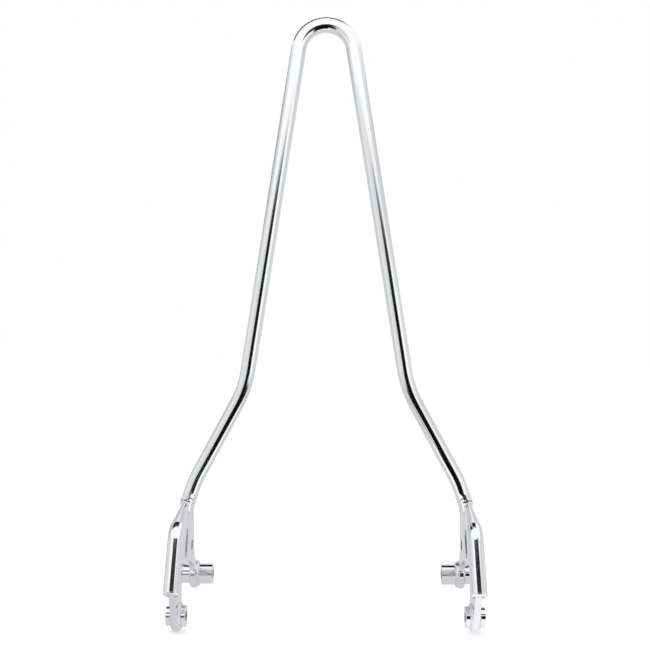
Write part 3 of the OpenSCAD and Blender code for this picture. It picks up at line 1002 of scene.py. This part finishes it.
def glow(name, build):
    """Cloth or card that shines evenly; build gives its strength, or none if dark, and its alpha."""
    material, nodes, links, out = bare_material(name)
    light = nodes.new("ShaderNodeEmission")
    strength, alpha = build(Graph(nodes, links))
    if strength:
        links.new(strength, light.inputs["Strength"])
    else:
        light.inputs["Strength"].default_value = 0.0
    shown = light.outputs["Emission"]
    if alpha:
        see_through = nodes.new("ShaderNodeBsdfTransparent")
        mix = nodes.new("ShaderNodeMixShader")
        links.new(alpha, mix.inputs["Fac"])
        links.new(see_through.outputs["BSDF"], mix.inputs[1])
        links.new(shown, mix.inputs[2])
        shown = mix.outputs["Shader"]
    links.new(shown, out.inputs["Surface"])
    return material


def only_reflected(obj):
    """Shows a piece of the studio in reflections alone."""
    obj.visible_camera = False
    obj.visible_diffuse = False
    obj.visible_transmission = False
    obj.visible_shadow = False


def card(name, low, high, build):
    """An upright or lying card between two corners."""
    clear()
    bpy.ops.mesh.primitive_plane_add(size=1.0)
    obj = bpy.context.object
    obj.name = name
    middle = (Vector(low) + Vector(high)) / 2
    span = Vector(high) - Vector(low)
    if abs(span.y) < 1e-6:
        obj.rotation_euler = (pi / 2, 0.0, 0.0)
        obj.scale = (span.x, span.z, 1.0)
    else:
        obj.scale = (span.x, span.y, 1.0)
    obj.location = middle
    settle(obj)
    obj.data.materials.append(glow(name, build))
    only_reflected(obj)


def floor_paint(colour):
    """Matt paint with a faint glow to the camera, so that the floor runs into the white behind it."""
    material, nodes, links, out = bare_material("floor_paint")
    matt = nodes.new("ShaderNodeBsdfDiffuse")
    matt.inputs["Color"].default_value = (*colour, 1.0)
    path = nodes.new("ShaderNodeLightPath")
    seen = path.outputs["Is Camera Ray"]
    for ray in ("Is Glossy Ray", "Is Transmission Ray"):
        either = nodes.new("ShaderNodeMath")
        either.operation = "ADD"
        links.new(seen, either.inputs[0])
        links.new(path.outputs[ray], either.inputs[1])
        seen = either.outputs["Value"]
    amount = nodes.new("ShaderNodeMath")
    amount.operation = "MULTIPLY"
    amount.inputs[1].default_value = FLOOR_LIFT
    links.new(seen, amount.inputs[0])
    lift = nodes.new("ShaderNodeEmission")
    links.new(amount.outputs["Value"], lift.inputs["Strength"])
    both = nodes.new("ShaderNodeAddShader")
    links.new(matt.outputs["BSDF"], both.inputs[0])
    links.new(lift.outputs["Emission"], both.inputs[1])
    links.new(both.outputs["Shader"], out.inputs["Surface"])
    return material


def add_floor(ground, colour):
    """The pale floor, which takes the object's shadow."""
    clear()
    bpy.ops.mesh.primitive_plane_add(size=FLOOR_SIZE, location=(0.0, 0.0, ground))
    floor = bpy.context.object
    floor.name = "studio_floor"
    floor.data.materials.append(floor_paint(colour))


def add_tent(ground):
    """The round tent, cut off just over the floor and closed there."""
    clear()
    bpy.ops.mesh.primitive_uv_sphere_add(segments=96, ring_count=48, radius=TENT_R,
                                         location=(0.0, 0.0, TENT_Z))
    tent = bpy.context.object
    tent.name = "reflection_tent"
    settle(tent)
    edit(tent)
    bpy.ops.mesh.bisect(plane_co=(0.0, 0.0, ground + TENT_FOOT), plane_no=(0.0, 0.0, 1.0),
                        use_fill=True, clear_inner=True)
    clear()
    tent.data.materials.append(glow("tent_tones", tent_tones))
    only_reflected(tent)


def add_cards(ground):
    """The cards stand on the tent's floor, and the apron lies just over it."""
    foot, apron = ground + CARD_FOOT, ground + APRON_RISE
    card("dark_slit", (-0.5, -1.02, foot), (1.0, -1.02, 0.75), slit_alpha)
    card("dark_apron", (-0.5, -1.02, apron), (1.0, -0.13, apron), apron_alpha)
    card("dark_strip", (-0.27, -0.17, foot), (0.27, -0.17, 0.034), strip_alpha)
    card("dark_header", (-0.7, -1.0, 0.75), (1.05, -1.0, 1.42), header_alpha)
    card("white_reflector", (-0.6, -0.3, 0.6), (0.6, -0.3, 0.88), reflector_tone)


def add_lights(scene):
    """One large soft lamp that mirrors don't show, and an even white world."""
    clear()
    bpy.ops.object.light_add(type="AREA", location=LAMP_PLACE)
    lamp = bpy.context.object
    lamp.name = "soft_lamp"
    lamp.data.shape = "RECTANGLE"
    lamp.data.size, lamp.data.size_y = LAMP_SIZE
    lamp.data.energy = LAMP_POWER
    lamp.rotation_euler = (LAMP_AIM - LAMP_PLACE).to_track_quat("-Z", "Y").to_euler()
    lamp.visible_glossy = False

    scene.world = bpy.data.worlds.new("white_studio")
    scene.world.use_nodes = True
    background = scene.world.node_tree.nodes["Background"]
    background.inputs["Color"].default_value = (1.0, 1.0, 1.0, 1.0)
    background.inputs["Strength"].default_value = 1.0


def add_camera(scene):
    """The camera of the photo, level and about a metre behind the bar."""
    clear()
    bpy.ops.object.camera_add(location=CAMERA_PLACE, rotation=(pi / 2, 0.0, CAMERA_TURN))
    camera = bpy.context.object
    camera.name = "photo_camera"
    camera.data.sensor_fit = "HORIZONTAL"
    camera.data.sensor_width = 36.0
    camera.data.lens = CAMERA_LENS
    camera.data.clip_start = 0.01
    scene.camera = camera
    scene.view_settings.view_transform = "Standard"


class SISSY_OT_stage(bpy.types.Operator):
    """Sets the floor, the light, the reflection cards and the camera"""
    bl_idname = "sissy.stage"
    bl_label = "Studio"

    def execute(self, context):
        ground = cad_box[0][2] - FLOOR_GAP
        add_floor(ground, context.scene.sissy_finish.floor)
        add_tent(ground)
        add_cards(ground)
        add_lights(context.scene)
        add_camera(context.scene)
        return {"FINISHED"}


class SISSY_PT_panel(bpy.types.Panel):
    """Lists the pieces and their sizes"""
    bl_idname = "SISSY_PT_panel"
    bl_label = "Sissy Bar"
    bl_space_type = "VIEW_3D"
    bl_region_type = "UI"
    bl_category = "Sissy Bar"

    def draw(self, context):
        for operator in OPERATORS:
            self.layout.operator(operator.bl_idname)
        for group in (context.scene.sissy_hoop, context.scene.sissy_bracket,
                      context.scene.sissy_sleeve, context.scene.sissy_finish):
            box = self.layout.box()
            for name in group.bl_rna.properties.keys():
                if name not in ("rna_type", "name"):
                    box.prop(group, name)


OPERATORS = (SISSY_OT_hoop, SISSY_OT_plates, SISSY_OT_rails, SISSY_OT_sleeves, SISSY_OT_ring_welds,
             SISSY_OT_rail_welds, SISSY_OT_hoop_welds, SISSY_OT_stage)
GROUPS = {"sissy_hoop": HoopSizes, "sissy_bracket": BracketSizes, "sissy_sleeve": SleeveSizes,
          "sissy_finish": Finish}


def register():
    for name, group in GROUPS.items():
        bpy.utils.register_class(group)
        setattr(bpy.types.Scene, name, bpy.props.PointerProperty(type=group))
    for cls in (*OPERATORS, SISSY_PT_panel):
        bpy.utils.register_class(cls)


def unregister():
    for cls in (SISSY_PT_panel, *reversed(OPERATORS)):
        bpy.utils.unregister_class(cls)
    for name, group in GROUPS.items():
        delattr(bpy.types.Scene, name)
        bpy.utils.unregister_class(group)


def main():
    register()
    bpy.ops.sissy.hoop()
    bpy.ops.sissy.plates()
    bpy.ops.sissy.rails()
    bpy.ops.sissy.sleeves()
    bpy.ops.sissy.ring_welds()
    bpy.ops.sissy.rail_welds()
    bpy.ops.sissy.hoop_welds()
    bpy.ops.sissy.stage()


if __name__ == "__main__":
    main()
